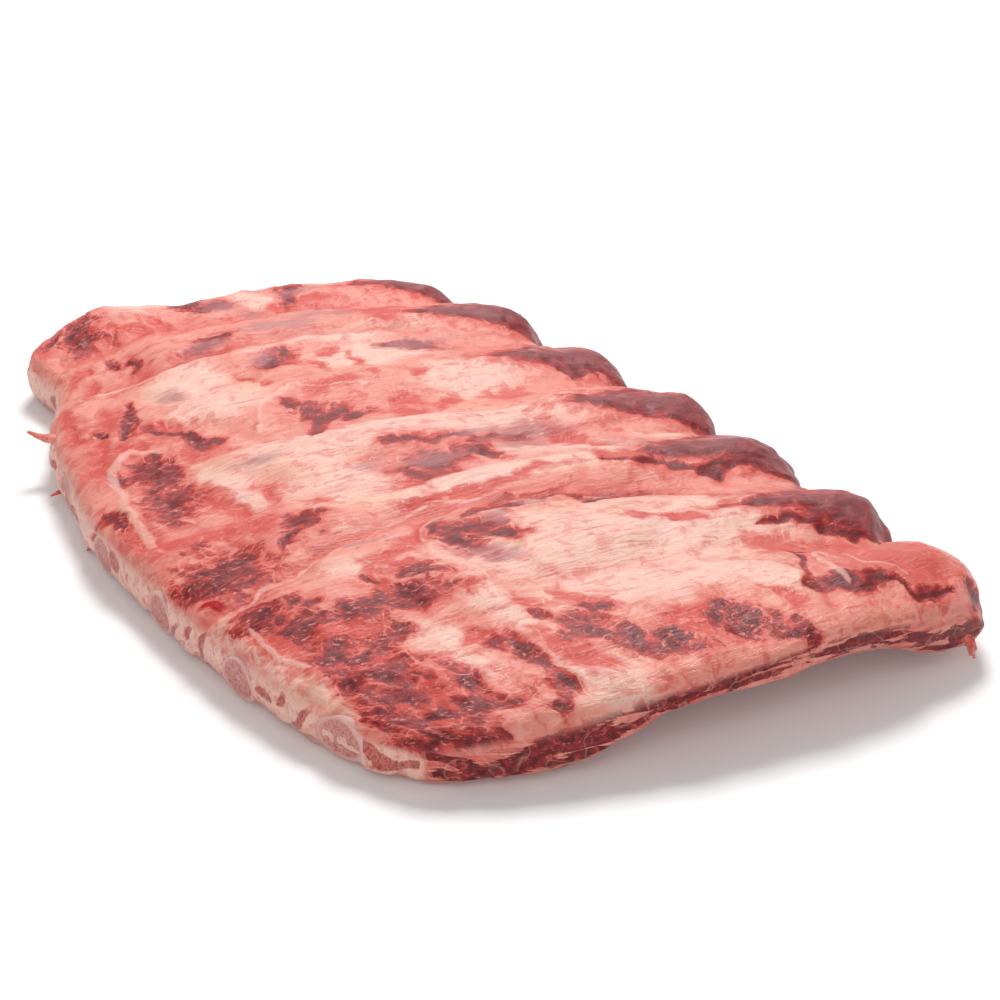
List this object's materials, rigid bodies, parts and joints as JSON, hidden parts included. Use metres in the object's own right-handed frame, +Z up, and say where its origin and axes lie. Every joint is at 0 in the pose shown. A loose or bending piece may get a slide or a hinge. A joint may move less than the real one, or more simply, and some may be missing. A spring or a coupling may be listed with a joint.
{
  "type": "raw rack of beef back ribs",
  "caption": "Raw rack of ribs lying fat side up: an arched slab of marbled meat and fat with rib bones running through it to a sawn edge.",
  "frame": {"origin": "on the resting surface, under the centre of the rack's box", "axes": "+X across the rack along the ribs, from the sawn chine side to the scalloped thin edge; +Y along the spine, away from the near cut; +Z up, towards the fat cover"},
  "size_m": [0.2525, 0.4304, 0.037],
  "materials": {
    "meat_and_fat": "moist, soft uneven gloss",
    "bone": "damp, sawn, faintly porous"
  },
  "bodies": {
    "root": {"meat": "meat_and_fat", "rib_1": "bone", "rib_2": "bone", "rib_3": "bone", "rib_4": "bone", "rib_5": "bone", "rib_6": "bone", "rib_7": "bone"}
  },
  "joints": []
}
